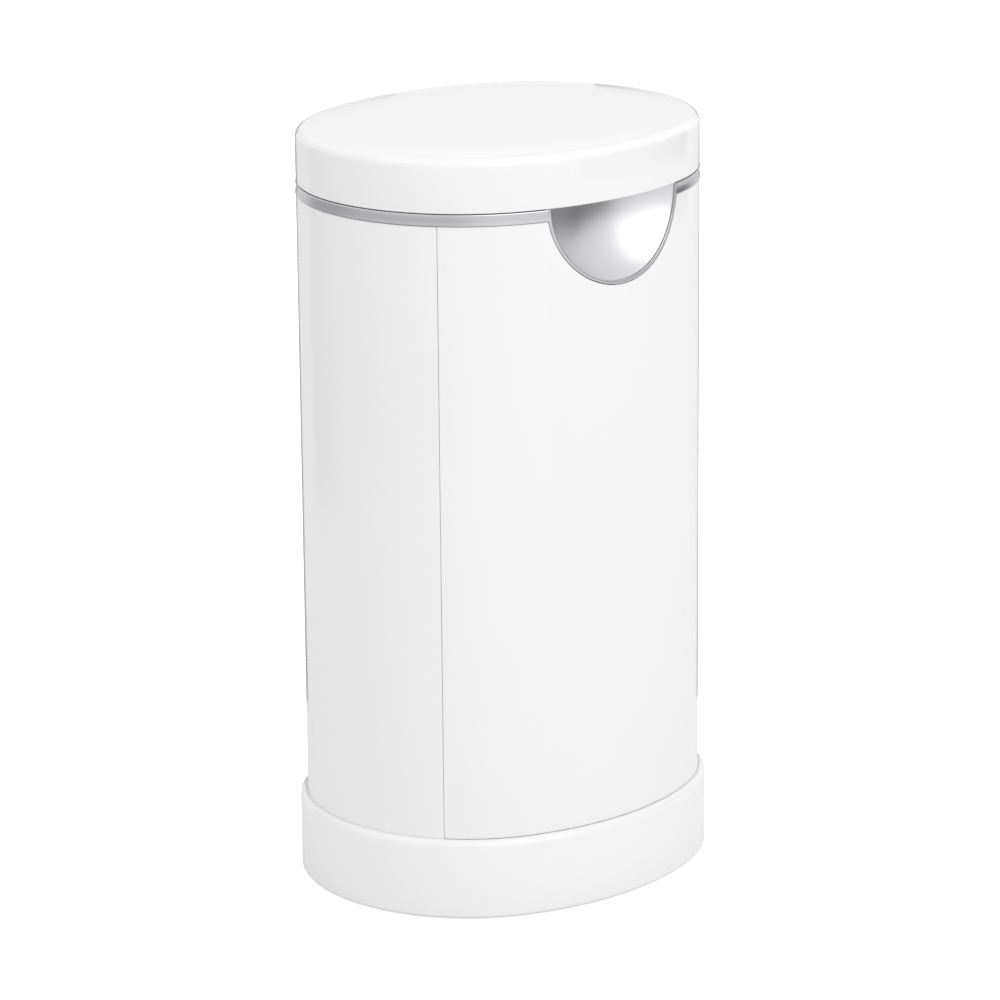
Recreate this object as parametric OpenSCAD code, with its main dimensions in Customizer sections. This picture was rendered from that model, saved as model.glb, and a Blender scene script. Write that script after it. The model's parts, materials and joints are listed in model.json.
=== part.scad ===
// Nappy bin with a refill cassette, sprung chute flaps, a hinged lid and a hinged front door.
// Millimetres. The origin is the centre of the footprint on the floor, the front faces -Y, +Z is up.

/* [Body] */
// Half of the body's width, side to side
body_half_w = 171; // [166:1:180]
// Half of the body's depth, front to back
body_half_d = 143; // [140:1:148]
// Half of the angle that each long side's arc spans, from the middle to the rounded end
side_deg = 22.62; // [20:0.5:26]
// Wall of the rear shell
shell_wall = 2.6; // [2.2:0.1:3.0]
// Height of the rear shell above the plinth
shell_h = 501.4; // [480:0.2:540]

/* [Plinth] */
// Height that the rubber feet stand proud of the plinth
foot_h = 2; // [1.5:0.5:3]
// Radius of a rubber foot
foot_r = 12; // [9:1:15]
// Height of the plinth above its feet
plinth_h = 64; // [56:1:72]
// How far the plinth stands out from the body all round
plinth_flare = 6; // [4:0.5:7]
// Wall of the plinth
plinth_wall = 3; // [2.4:0.2:3.6]
// How far the plinth's rounded shoulder reaches in under the body
shoulder_w = 12; // [12:1:16]
// How much lower than its rim the floor under the bag lies
floor_drop = 0.6; // [0.4:0.1:0.8]
// Thickness of the floor under the bag
floor_t = 2.2; // [2:0.1:2.2]
// Thickness of the plate that closes the plinth from below
cover_t = 2.5; // [2:0.5:3.5]

/* [Lid] */
// Gap between the trim ring and the lid
lid_gap = 1.2; // [1:0.1:1.6]
// Height of the lid from its lower edge to the top of its rounded rim
lid_h = 42.4; // [38:0.2:50]
// Radius of the lid's rounded top edge
lid_round = 7; // [5:0.5:9]
// Wall of the lid
lid_wall = 2.6; // [2.2:0.1:3.0]
// Rise of the crowned middle of the lid above its rim
crown_h = 2.5; // [1.5:0.5:4]
// Distance from the lid's side to where the crown starts
crown_inset = 12; // [10:1:16]
// Width of the soft shoulder that leads up to the crown
crown_w = 40; // [20:1:44]
// Thickness of the flat liner inside the lid
liner_t = 2.4; // [2:0.2:3]
// Radius of the lid's hinge barrel
barrel_r = 4.4; // [4:0.2:4.8]
// Radius of the lid's hinge pin
lid_pin_r = 2; // [1.5:0.1:2.2]
// Length of the lid's hinge over both of its ears
hinge_w = 120; // [100:2:130]
// Width of one hinge ear on the collar
ear_w = 20; // [14:1:24]

/* [Collar and trim] */
// Height of the trim ring
ring_h = 8.4; // [7:0.2:10]
// Thickness of the trim ring
ring_t = 0.8; // [0.6:0.1:0.9]
// How far the trim ring stands proud of the body
ring_proud = 0.2; // [0:0.1:0.3]
// Thickness of the collar's deck
deck_t = 3.3; // [2.8:0.1:4]
// Height of the cassette well, from the deck's top to the underside of its floor
well_h = 56; // [52:1:64]
// Inner radius of the cassette well
well_r = 97; // [96:0.5:98]
// Wall of the cassette well
well_wall = 2.5; // [2:0.1:3]

/* [Finger scoop] */
// Outer radius of the half-round rim of the finger scoop
scoop_r = 70; // [64:1:74]
// Width of the scoop's rim
rim_w = 2.8; // [2.2:0.2:3.6]
// How far the scoop's rim stands proud of the door
rim_proud = 0.6; // [0.4:0.1:0.8]
// Depth of the scoop below the front of the body
scoop_depth = 35; // [32:1:35]
// Wall of the scoop
scoop_wall = 2.2; // [1.8:0.1:2.6]

/* [Door] */
// Half of the door's width, seen from the front
door_half_w = 142; // [138:1:145]
// Wall of the door
door_wall = 4.4; // [4:0.1:4.8]
// Gap between the door and the shell beside it
seam_gap = 1; // [0.8:0.1:1.4]
// Gap between the door and the plinth below it
door_gap = 1; // [0.8:0.1:1.5]
// Gap between the door and the rim of the scoop
notch_gap = 1.2; // [1.1:0.1:1.5]
// Widest angle that the door opens to
door_open_deg = 100; // [80:5:100]
// Radius of the door's steel hinge pins
door_pin_r = 1; // [0.8:0.1:1.1]
// How deep a hinge pin reaches into the door
door_pin_depth = 12; // [8:1:18]
// Width of the inner door frame on each side
frame_w = 18; // [15:1:20]
// Thickness of the inner door frame
frame_t = 2.6; // [2:0.2:3]
// Height of the sill of the inner door frame
sill_h = 14; // [10:1:20]
// Inner radius of the finger grip cup beside the door's free edge
grip_r = 22; // [20:1:24]
// Height of the finger grip's middle above the floor
grip_z = 330; // [260:5:360]
// Height of the magnetic catch's middle above the floor
catch_z = 430; // [400:5:440]
// Height of the magnetic catch
catch_h = 40; // [32:2:48]

/* [Cassette] */
// Outer radius of the refill cassette
cassette_r = 95; // [94:0.5:95]
// Radius of the throat through the cassette
throat_r = 74; // [70:1:76]
// Height of the cassette
cassette_h = 46; // [40:1:48]
// Wall of the cassette
cassette_wall = 2; // [1.6:0.2:2.4]

/* [Flaps] */
// Width of the opening that the two flaps close
flap_gate_w = 124; // [116:1:126]
// Length of the opening that the two flaps close
flap_gate_l = 110; // [100:2:112]
// Thickness of the flap frame's plate
flap_frame_t = 9.8; // [8:0.2:11]
// Outer radius of the flap frame
flap_frame_r = 93; // [92:0.5:94]
// Thickness of a flap
flap_t = 3; // [2.4:0.2:3.2]
// Radius of a flap's hinge pin
flap_pin_r = 2; // [1.6:0.1:2.2]
// Radius of a flap's hinge barrel
flap_barrel_r = 4.2; // [3.8:0.1:4.4]
// Wire diameter of a flap spring
spring_wire = 1; // [0.8:0.1:1.2]
// Turns of a flap spring
spring_turns = 8; // [5:1:9]

/* [Scent puck] */
// Radius of the scent puck
puck_r = 29; // [24:1:29]
// Thickness of the scent puck
puck_h = 14; // [10:1:16]
// Radius of the puck's vented cover
puck_cover_r = 31.6; // [31:0.1:32]
// Thickness of the puck's vented cover
puck_cover_t = 3; // [2.6:0.2:3.4]

/* [Fits] */
// Clearance between seated pieces
seat_gap = 0.3; // [0.2:0.05:0.35]
// Radial clearance of a turning fit
run_gap = 0.06; // [0.04:0.01:0.1]
// Clearance between pieces that pass each other
pass_gap = 0.5; // [0.4:0.05:0.6]
// Radius of a fixing screw's shank
screw_r = 1.5; // [1.3:0.1:1.7]
// Radius of a fixing screw's head
head_r = 3.2; // [2.8:0.1:3.4]
// Height of a fixing screw's head
head_h = 2; // [1.6:0.1:2.2]

/* [Hidden] */
$fn = 128;

white = "#f3f3f1";
silver = "#b8babd";
steel = "#9a9ca0";
grey = "#8a8d91";
soft_black = "#2c2d2f";
mint = "#bfe0d6";
film_blue = "#a9c6dd";

// Plan of the oval: two end arcs about (+-end_x, 0) meet two side arcs about (0, +-side_y).
// The centres are rounded to 0.01 mm, so that the arcs' shared corners are round numbers too.
side_reach = (body_half_w - body_half_d) / (1 + tan(side_deg) - 1 / cos(side_deg));
side_y = round(100 * side_reach) / 100;
end_x = round(100 * side_reach * tan(side_deg)) / 100;
side_r = body_half_d + side_y;
end_r = side_r - norm([end_x, side_y]);
far = 400;
tiny = 0.01;

// Heights
plinth_z = foot_h;
deck_z = plinth_z + plinth_h;
floor_z = deck_z - floor_drop;
shell_top = deck_z + shell_h;
collar_z = shell_top + seat_gap;
collar_deck = collar_z + deck_t;
collar_wall = 2.6;
ring_z = shell_top + 0.6;
ring_top = ring_z + ring_h;
collar_top = ring_top - 0.4;
lid_z = ring_top + lid_gap;
rim_top = lid_z + lid_h;
well_floor_z = collar_deck - well_h;
well_floor_t = 3;
well_floor_top = well_floor_z + well_floor_t;

// Door seams and the door's hinge axis
seam_deg = acos((door_half_w - end_x) / end_r);
bead_r = door_wall / 2;
hinge_arc_r = end_r - bead_r;
hinge_reach = bead_r * tan(door_open_deg / 2) + seat_gap;
hinge_deg = seam_deg + (bead_r + hinge_reach) / 2 / hinge_arc_r * 180 / PI;
shell_left_deg = hinge_deg - hinge_reach / hinge_arc_r * 180 / PI;
half_gap_deg = seam_gap / 2 / end_r * 180 / PI;
hinge_x = -end_x - hinge_arc_r * cos(hinge_deg);
hinge_y = -hinge_arc_r * sin(hinge_deg);
door_z = deck_z + door_gap;
door_top = shell_top - 0.4;

// Door frame, seal and catch, as distances in from the body's outside
frame_lap = 3.5;
flange_t = 2.5;
loop_in_r = scoop_r + 4;
loop_w = 10;
seal_inset = door_wall + 0.4;
frame_inset = seal_inset + 2.6;
frame_back = frame_inset + frame_t;
frame_out_x = door_half_w + frame_lap;
frame_in_x = frame_out_x - frame_w;
seal_w = 8;
grip_wall = 2;
catch_start_deg = seam_deg + 7;
catch_span_deg = 7;
strike_t = 1;
magnet_t = 3.6;
magnet_inset = door_wall + strike_t + 0.3;

// Scoop
scoop_z = collar_top;
rim_in_r = scoop_r - rim_w;
rim_back = 3;
scoop_deep = body_half_d - scoop_depth;
// The dished back meets the rim's inner radius just behind the rim, at the scoop's two upper corners
dish_edge_y = sqrt(pow(side_r - rim_back - 0.6, 2) - rim_in_r * rim_in_r) - side_y;
dish_sag = dish_edge_y - scoop_deep;
dish_r = (rim_in_r * rim_in_r + dish_sag * dish_sag) / (2 * dish_sag);
rebate_depth = 1.6;
rebate_gap = notch_gap + 2.4;

// Lid hinge
lid_hinge_y = body_half_d + 1.2;
lid_hinge_z = lid_z - 2.6;
lid_barrel_w = hinge_w - 2 * ear_w - 0.8;

// Lid inside
liner_z = lid_z + 2.4;
liner_top = liner_z + liner_t;
liner_inset = lid_wall + 0.4;
lid_roof_z = rim_top - lid_wall;
crown_arc = (crown_w * crown_w + crown_h * crown_h) / (2 * crown_h);
seal_r = well_r + 3;
seal_t = 5;
rib_t = 1.8;
puck_cup_wall = 4.2;
lid_screw_l = (lid_roof_z - liner_top) / 3;
puck_z = liner_z + puck_cover_t + seat_gap;
puck_cup_r = puck_cover_r + run_gap;
puck_roof_z = puck_z + puck_h + seat_gap;
lug_r = 1.8;
lug_t = 1.4;
lug_deg = 28;
bumper_r = seal_t / 3;
vent_in_r = 0.36 * puck_cover_r;
vent_l = 0.42 * puck_cover_r;
vent_w = 0.12 * puck_cover_r;

// Chute
cassette_z = well_floor_top + seat_gap;
cassette_floor = 2.4;
cap_t = 2;
flap_frame_top = well_floor_z - 0.2;
flap_frame_z = flap_frame_top - flap_frame_t;
flap_top = flap_frame_z - 0.6;
flap_axis_z = flap_frame_z - flap_barrel_r - 0.4;
flap_axis_x = flap_gate_w / 2 + 4;
flap_edge_x = 1.2;
lip_edge_x = 0.5;
barrel_outer_y = flap_gate_l / 2 + 1;
barrel_inner_y = 18;
lug_in_y = barrel_outer_y + pass_gap;
lug_w = 6;
spring_r = flap_pin_r + 0.3 + spring_wire / 2;
spring_half = 14;
spring_sides = 8;
spring_steps = 14;
spring_rings = spring_turns * spring_steps;
cutter_w = 44;
cutter_d = 12;
cutter_h = 18;
cutter_roof = 5;
cutter_slot = 3;
cutter_y = -flap_frame_r + 7;
cutter_z = flap_frame_z - 0.2 - cutter_h;
blade_t = 0.6;
blade_h = 6;

function end_point(side, deg, inset) = [
    side * (end_x + (end_r - inset) * cos(deg)),
    (end_r - inset) * sin(deg)
];
function junction_x(inset) = end_x + (end_r - inset) * sin(side_deg);

collar_skin = ring_t - ring_proud + 0.2;
boss_r = 5;
boss_h = 22;
bumper_inset = collar_skin + collar_wall + bumper_r + 0.2;
shell_boss_inset = collar_skin + collar_wall + head_r + seat_gap;
shell_bosses = [
    for (side = [-1, 1]) for (deg = [12, 60]) end_point(side, deg, shell_boss_inset)
];
base_boss_r = 5.5;
cover_boss_h = 6;
base_screw_l = 30;
head_sink = 1;
screw_hole_r = screw_r + 0.2;
foot_plug_r = foot_r / 3;
base_bosses = [
    for (side = [-1, 1]) for (deg = [-40, 0, 40]) end_point(side, deg, 30)
];
foot_places = [
    for (side = [-1, 1]) for (deg = [-62, 62]) end_point(side, deg, foot_r + 10)
];
lid_boss_places = [
    for (side = [-1, 1]) for (deg = [-48, 48]) end_point(side, deg, 14)
];
frame_screw_places = [
    for (deg = [-20, 20, 160, 200]) (flap_frame_r - 7) * [cos(deg), sin(deg)]
];

// ---- Shapes that repeat ----

// Flat oval, set in from the body's outside by inset
module oval(inset) {
    middle_x = junction_x(inset);
    union() {
        intersection() {
            translate([0, side_y]) circle(r = side_r - inset);
            translate([0, -side_y]) circle(r = side_r - inset);
            polygon([[-middle_x, -far], [middle_x, -far], [middle_x, far], [-middle_x, far]]);
        }
        for (side = [-1, 1]) {
            intersection() {
                translate([side * end_x, 0]) circle(r = end_r - inset);
                polygon([
                    [side * middle_x, -far], [side * far, -far],
                    [side * far, far], [side * middle_x, far]
                ]);
            }
        }
    }
}

// Solid oval block
module oval_block(inset, z0, z1) {
    translate([0, 0, z0]) linear_extrude(z1 - z0) oval(inset);
}

// Oval tube between two insets
module oval_tube(inset_out, inset_in, z0, z1) {
    translate([0, 0, z0]) linear_extrude(z1 - z0) difference() {
        oval(inset_out);
        oval(inset_in);
    }
}

// Sweeps a flat profile round the oval; the profile's x is 0 at the body's outside.
// Each arc is a full revolve, cut at the planes where the end arcs meet the side arcs;
// meet is a point of such a plane, well outside the body.
module oval_sweep() {
    meet = [5 * end_x, 4 * side_y];
    for (side = [-1, 1]) {
        intersection() {
            translate([side * end_x, 0, 0]) rotate_extrude() translate([end_r, 0]) children();
            translate([0, 0, -far]) linear_extrude(4 * far) polygon([
                [side * end_x, 0], [side * meet[0], -meet[1]],
                [side * 2 * far, 0], [side * meet[0], meet[1]]
            ]);
        }
        intersection() {
            translate([0, -side * side_y, 0]) rotate_extrude() translate([side_r, 0]) children();
            translate([0, 0, -far]) linear_extrude(4 * far) polygon([
                [0, -side * side_y], [end_x, 0], [meet[0], side * meet[1]],
                [-meet[0], side * meet[1]], [-end_x, 0]
            ]);
        }
    }
}

// Region in front of the body between two seams, given as angles at the end arcs' centres
module front_region(left_deg, right_deg, z0, z1) {
    translate([0, 0, z0]) linear_extrude(z1 - z0) polygon([
        [end_x, 0],
        [end_x + far * cos(right_deg), -far * sin(right_deg)],
        [far, -far],
        [-far, -far],
        [-end_x - far * cos(left_deg), -far * sin(left_deg)],
        [-end_x, 0]
    ]);
}

// Part of a tube about the right end arc's centre, in front of the side axis
module end_sector(inset_out, inset_in, deg0, deg1, z0, z1) {
    translate([end_x, 0, z0]) rotate([0, 0, -deg1]) rotate_extrude(angle = deg1 - deg0)
        translate([end_r - inset_in, 0]) square([inset_in - inset_out, z1 - z0]);
}

// Prism along Y through the front of the body, drawn in the X-Z plane
module front_prism() {
    rotate([90, 0, 0]) linear_extrude(far) children();
}

// Ring about the Z axis
module ring(r_in, r_out, z0, z1) {
    translate([0, 0, z0]) difference() {
        cylinder(r = r_out, h = z1 - z0);
        translate([0, 0, -1]) cylinder(r = r_in, h = z1 - z0 + 2);
    }
}

// Rod along Y
module rod_y(r, x, z, y0, y1) {
    translate([x, y1, z]) rotate([90, 0, 0]) cylinder(r = r, h = y1 - y0);
}

// Rod along X
module rod_x(r, y, z, x0, x1) {
    translate([x0, y, z]) rotate([0, 90, 0]) cylinder(r = r, h = x1 - x0);
}

// Screw standing upright: its head's outer face is at z_head, and it reaches to z_tip
module screw(z_head, z_tip) {
    up = z_tip > z_head ? 1 : -1;
    shank_z = z_head + up * head_h;
    union() {
        translate([0, 0, min(z_head, shank_z)]) difference() {
            cylinder(r = head_r, h = head_h);
            translate([0, 0, up > 0 ? -1 : head_h - 1]) cylinder(r = 1.4, h = 2, $fn = 6);
        }
        translate([0, 0, min(shank_z, z_tip)]) cylinder(r = screw_r - 0.05, h = abs(z_tip - shank_z));
    }
}

// Space that the scoop takes, grown outwards by grow
module scoop_space(grow) {
    translate([0, 0, scoop_z]) rotate([90, 0, 0]) rotate([0, 0, 90]) rotate_extrude() union() {
        translate([0, dish_edge_y]) square([rim_in_r + grow, far / 2 - dish_edge_y]);
        intersection() {
            translate([0, scoop_deep + dish_r]) circle(r = dish_r + grow);
            translate([0, scoop_deep - grow]) square([rim_in_r + grow, dish_sag + grow + 1]);
        }
    }
}

// Ball round the finger grip's middle, turned so that its poles lie clear of the walls
module grip_ball(r) {
    translate([end_x, 0, grip_z]) rotate([0, 0, -seam_deg]) translate([end_r, 0, 0])
        rotate([10, 20, 0]) sphere(r = r);
}

// ---- Base ----

// Half profile of the plinth's wall with its rounded shoulder
module plinth_profile(thin, top) {
    union() {
        translate([-shoulder_w, 0]) square([shoulder_w, top - thin]);
        square([plinth_flare - thin, top - plinth_flare]);
        translate([0, top - plinth_flare]) circle(r = plinth_flare - thin);
    }
}

// Moulded foot of the bin: flared wall, rounded shoulder and the floor that the bag stands on
module base_plinth() {
    color(white) difference() {
        union() {
            oval_sweep() difference() {
                translate([0, plinth_z]) plinth_profile(0, plinth_h);
                translate([0, plinth_z - 1]) plinth_profile(plinth_wall, plinth_h + 1);
            }
            oval_block(shoulder_w / 2, floor_z - floor_t, floor_z);
            for (at = base_bosses) {
                translate([at[0], at[1], plinth_z + cover_boss_h])
                    cylinder(r = base_boss_r, h = plinth_h - cover_boss_h - floor_drop - floor_t / 2);
            }
        }
        for (at = base_bosses) {
            translate([at[0], at[1], plinth_z]) cylinder(r = screw_r, h = base_screw_l + 4);
        }
        for (at = shell_bosses) {
            translate([at[0], at[1], deck_z - 10]) cylinder(r = screw_hole_r, h = 20);
        }
        translate([hinge_x, hinge_y, deck_z - 10]) cylinder(r = door_pin_r, h = 20);
    }
}

// Plate that closes the plinth from below, with sunk screw seats
module base_cover() {
    color(grey) difference() {
        union() {
            oval_block(plinth_wall - plinth_flare + seat_gap, plinth_z, plinth_z + cover_t);
            for (at = base_bosses) {
                translate([at[0], at[1], plinth_z]) cylinder(r = base_boss_r, h = cover_boss_h);
            }
        }
        for (at = base_bosses) {
            translate([at[0], at[1], plinth_z - 1]) cylinder(r = head_r + 0.3, h = 1 + head_sink + head_h);
            translate([at[0], at[1], plinth_z - 1]) cylinder(r = screw_hole_r, h = cover_boss_h + 2);
        }
        for (at = foot_places) {
            translate([at[0], at[1], plinth_z - 1]) cylinder(r = foot_plug_r, h = cover_t + 2);
        }
    }
}

// Screws that hold the cover plate to the plinth
module base_screws() {
    color(steel) for (at = base_bosses) {
        translate([at[0], at[1], 0]) screw(plinth_z + head_sink, plinth_z + base_screw_l);
    }
}

// Four push-in rubber feet
module rubber_feet() {
    color(soft_black) for (at = foot_places) {
        translate([at[0], at[1], 0]) union() {
            cylinder(r = foot_r, h = foot_h);
            translate([0, 0, foot_h - tiny]) cylinder(r = foot_plug_r - 0.1, h = cover_t + 0.5);
        }
    }
}

// ---- Body ----

// Wrap-round rear shell, open at the front, with screw bosses at its foot and head
module rear_shell() {
    color(white) difference() {
        union() {
            difference() {
                oval_tube(0, shell_wall, deck_z, shell_top);
                front_region(shell_left_deg, seam_deg - half_gap_deg, deck_z - 1, shell_top + 1);
            }
            for (at = shell_bosses) {
                translate([at[0], at[1], deck_z]) cylinder(r = boss_r, h = boss_h);
                translate([at[0], at[1], shell_top - boss_h]) cylinder(r = boss_r, h = boss_h);
            }
        }
        for (at = shell_bosses) {
            translate([at[0], at[1], deck_z - 1]) cylinder(r = screw_r, h = boss_h - 2);
            translate([at[0], at[1], shell_top - boss_h + 3]) cylinder(r = screw_r, h = boss_h);
        }
        grip_ball(grip_r + grip_wall + 0.1);
    }
}

// Screws up through the floor into the rear shell
module shell_screws() {
    color(steel) for (at = shell_bosses) {
        translate([at[0], at[1], 0]) screw(deck_z - plinth_wall - head_h, deck_z + boss_h - 6);
    }
}

// Outline of the inner door frame, seen from the front
module frame_outline(side_in, side_out, sill, head, loop_in, loop_out) {
    difference() {
        union() {
            for (side = [-1, 1]) {
                translate([side > 0 ? side_in : -side_out, deck_z])
                    square([side_out - side_in, door_top - deck_z]);
            }
            translate([-side_in - 1, deck_z]) square([2 * side_in + 2, sill]);
            translate([-side_in - 1, door_top - head]) square([2 * side_in + 2, head]);
            intersection() {
                translate([0, scoop_z]) circle(r = loop_out);
                translate([-loop_out, door_top - far]) square([2 * loop_out, far]);
            }
        }
        translate([0, scoop_z]) circle(r = loop_in);
    }
}

// Fixed frame behind the door: it closes the gap to the shell and backs the seal
module door_frame() {
    color(white) difference() {
        union() {
            intersection() {
                oval_tube(frame_inset, frame_back, deck_z, shell_top);
                front_prism() frame_outline(
                    frame_in_x, frame_out_x, sill_h, sill_h, loop_in_r, loop_in_r + loop_w
                );
            }
            intersection() {
                oval_tube(shell_wall + 0.2, frame_inset + 0.2, deck_z, shell_top);
                front_prism() for (side = [-1, 1]) {
                    translate([side * (frame_out_x - flange_t / 2) - flange_t / 2, deck_z])
                        square([flange_t, door_top - deck_z]);
                }
            }
        }
        grip_ball(grip_r + grip_wall + 0.1);
    }
}

// Foam strip that the door closes against
module door_seal() {
    color(soft_black) difference() {
        intersection() {
            oval_tube(seal_inset, frame_inset - 0.1, deck_z + 3, shell_top - 3);
            front_prism() frame_outline(
                frame_in_x + 1, frame_in_x + 1 + seal_w, seal_w, seal_w, loop_in_r + 1, loop_in_r + 1 + seal_w
            );
        }
        grip_ball(grip_r + grip_wall + 0.2);
    }
}

// Bracket on the door frame that holds the catch magnet
module magnet_housing() {
    z0 = catch_z - catch_h / 2;
    z1 = catch_z + catch_h / 2;
    color(white) difference() {
        union() {
            end_sector(
                frame_back + 0.1, frame_back + 2.5, seam_deg + 1,
                catch_start_deg + catch_span_deg, z0, z1
            );
            end_sector(
                magnet_inset + 0.1, frame_back + 2, catch_start_deg + 1.5,
                catch_start_deg + catch_span_deg, z0, z1
            );
        }
        end_sector(
            door_wall, magnet_inset + magnet_t + 0.1, catch_start_deg + 2.5,
            catch_start_deg + catch_span_deg - 1, z0 + 4, z1 - 4
        );
    }
}

// Magnet block in its bracket
module catch_magnet() {
    color(steel) end_sector(
        magnet_inset, magnet_inset + magnet_t, catch_start_deg + 2.6,
        catch_start_deg + catch_span_deg - 1.1, catch_z - catch_h / 2 + 4.1, catch_z + catch_h / 2 - 4.1
    );
}

// Steel pin that stands in the floor and carries the door's foot
module door_pin_lower() {
    color(steel) translate([hinge_x, hinge_y, deck_z - plinth_wall])
        cylinder(r = door_pin_r, h = plinth_wall + door_gap + door_pin_depth);
}

// Steel pin that hangs in the collar and holds the door's head
module door_pin_upper() {
    color(steel) translate([hinge_x, hinge_y, door_top - door_pin_depth])
        cylinder(r = door_pin_r, h = collar_deck - door_top + door_pin_depth);
}

// Half-round cup behind the door's free edge, for the fingers that pull it open
module grip_cup() {
    color(white) difference() {
        intersection() {
            grip_ball(grip_r + grip_wall);
            oval_block(0, grip_z - 40, grip_z + 40);
        }
        grip_ball(grip_r);
        difference() {
            front_region(seam_deg, seam_deg - half_gap_deg, grip_z - 50, grip_z + 50);
            oval_block(seal_inset, grip_z - 51, grip_z + 51);
        }
    }
}

// ---- Collar, trim and scoop ----

// Structural collar: deck, upstand under the lid, and the well that holds the cassette
module top_collar() {
    color(white) difference() {
        union() {
            oval_block(collar_skin, collar_z, collar_deck);
            oval_tube(collar_skin, collar_skin + collar_wall, collar_z, collar_top);
            translate([0, 0, well_floor_z]) cylinder(r = well_r + well_wall, h = well_h - 1);
            for (side = [-1, 1]) {
                ear_x = side > 0 ? hinge_w / 2 - ear_w : -hinge_w / 2;
                rod_x(barrel_r, lid_hinge_y, lid_hinge_z, ear_x, ear_x + ear_w);
                translate([ear_x, body_half_d - 12, lid_hinge_z - barrel_r])
                    cube([ear_w, 12 + lid_hinge_y - body_half_d, barrel_r]);
            }
        }
        translate([0, 0, well_floor_top]) cylinder(r = well_r, h = well_h + 10);
        translate([0, 0, well_floor_z - 1]) cylinder(r = throat_r, h = well_h);
        scoop_space(rim_w + 0.2);
        rod_x(barrel_r + pass_gap, lid_hinge_y, lid_hinge_z, -hinge_w / 2 + ear_w, hinge_w / 2 - ear_w);
        translate([-hinge_w / 2 + ear_w, body_half_d - lid_wall - pass_gap, lid_hinge_z])
            cube([hinge_w - 2 * ear_w, 20, 20]);
        rod_x(lid_pin_r, lid_hinge_y, lid_hinge_z, -far, far);
        for (at = shell_bosses) {
            translate([at[0], at[1], collar_z - 1]) cylinder(r = screw_hole_r, h = deck_t + 2);
        }
        translate([hinge_x, hinge_y, collar_z - 1]) cylinder(r = door_pin_r, h = deck_t + 2);
        for (at = frame_screw_places) {
            translate([at[0], at[1], well_floor_z - 1]) cylinder(r = screw_r, h = well_floor_t + 0.5);
        }
    }
}

// Screws down through the collar into the rear shell
module collar_screws() {
    color(steel) for (at = shell_bosses) {
        translate([at[0], at[1], 0]) screw(collar_deck + head_h, shell_top - boss_h + 8);
    }
}

// Bright trim: a band under the lid, in one piece with the half-round rim of the scoop
module trim_ring() {
    color(silver) union() {
        difference() {
            oval_tube(-ring_proud, ring_t - ring_proud, ring_z, ring_top);
            translate([0, body_half_d, ring_z - 1 + ring_h])
                cube([hinge_w + 3, body_half_d, 4 * ring_h], center = true);
            translate([0, 0, scoop_z]) rotate([90, 0, 0]) cylinder(r = rim_in_r + tiny, h = far);
        }
        intersection() {
            oval_tube(-rim_proud, rim_back, scoop_z - scoop_r - 2, ring_top);
            translate([0, 0, scoop_z]) rotate([90, 0, 0]) difference() {
                cylinder(r = scoop_r, h = far);
                translate([0, 0, -1]) cylinder(r = rim_in_r, h = far + 2);
            }
        }
    }
}

// Dished bowl under the front of the lid, for the fingers that lift it
module finger_scoop() {
    color(silver) intersection() {
        difference() {
            scoop_space(scoop_wall);
            scoop_space(0);
        }
        oval_block(rim_back + 0.1, scoop_z - far / 2, scoop_z);
    }
}

// ---- Chute ----

// Frame under the cassette well that carries the two flaps
module flap_frame() {
    lug_z = flap_axis_z - flap_pin_r - 2;
    color(grey) difference() {
        union() {
            translate([0, 0, flap_frame_z]) cylinder(r = flap_frame_r, h = flap_frame_t);
            for (x = [-flap_axis_x, flap_axis_x]) {
                for (y = [-lug_in_y - lug_w, lug_in_y]) {
                    translate([x - 5, y, lug_z]) cube([10, lug_w, flap_frame_z - lug_z + tiny]);
                }
            }
        }
        translate([-flap_gate_w / 2, -flap_gate_l / 2, flap_frame_z - 1])
            cube([flap_gate_w, flap_gate_l, flap_frame_t + 2]);
        for (x = [-flap_axis_x, flap_axis_x]) {
            rod_y(flap_pin_r, x, flap_axis_z, -far / 2, far / 2);
        }
        for (at = frame_screw_places) {
            translate([at[0], at[1], flap_frame_z - 1]) cylinder(r = screw_hole_r, h = flap_frame_t + 2);
        }
    }
}

// Screws up through the flap frame into the well's floor
module frame_screws() {
    color(steel) for (at = frame_screw_places) {
        translate([at[0], at[1], 0]) screw(flap_frame_z - head_h, well_floor_z + 2.2);
    }
}

// Hinge pin of one flap
module flap_pin(side) {
    color(steel) rod_y(flap_pin_r, side * flap_axis_x, flap_axis_z, -lug_in_y - lug_w, lug_in_y + lug_w);
}
module flap_pin_left() { flap_pin(-1); }
module flap_pin_right() { flap_pin(1); }

// Torsion spring wound round a flap's pin: one tube swept along a helix
function spring_at(i) = [
    spring_r * cos(i * 360 / spring_steps),
    -spring_half + 2 * spring_half * i / spring_rings,
    spring_r * sin(i * 360 / spring_steps)
];
function spring_ring(i) = let (turn = i * 360 / spring_steps) [
    for (k = [0 : spring_sides - 1]) let (a = k * 360 / spring_sides)
        spring_at(i) + spring_wire / 2 * [cos(a) * cos(turn), sin(a), cos(a) * sin(turn)]
];
module spring_coil() {
    points = [for (i = [0 : spring_rings]) for (p = spring_ring(i)) p];
    walls = [
        for (i = [0 : spring_rings - 1]) for (k = [0 : spring_sides - 1])
            let (a = i * spring_sides + k, b = i * spring_sides + (k + 1) % spring_sides)
            [a, b, b + spring_sides, a + spring_sides]
    ];
    first = [for (k = [0 : spring_sides - 1]) spring_sides - 1 - k];
    last = [for (k = [0 : spring_sides - 1]) spring_rings * spring_sides + k];
    polyhedron(points = points, faces = concat(walls, [first, last]));
}
module flap_spring(side) {
    color(steel) translate([side * flap_axis_x, 0, flap_axis_z]) spring_coil();
}
module flap_spring_left() { flap_spring(-1); }
module flap_spring_right() { flap_spring(1); }

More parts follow.
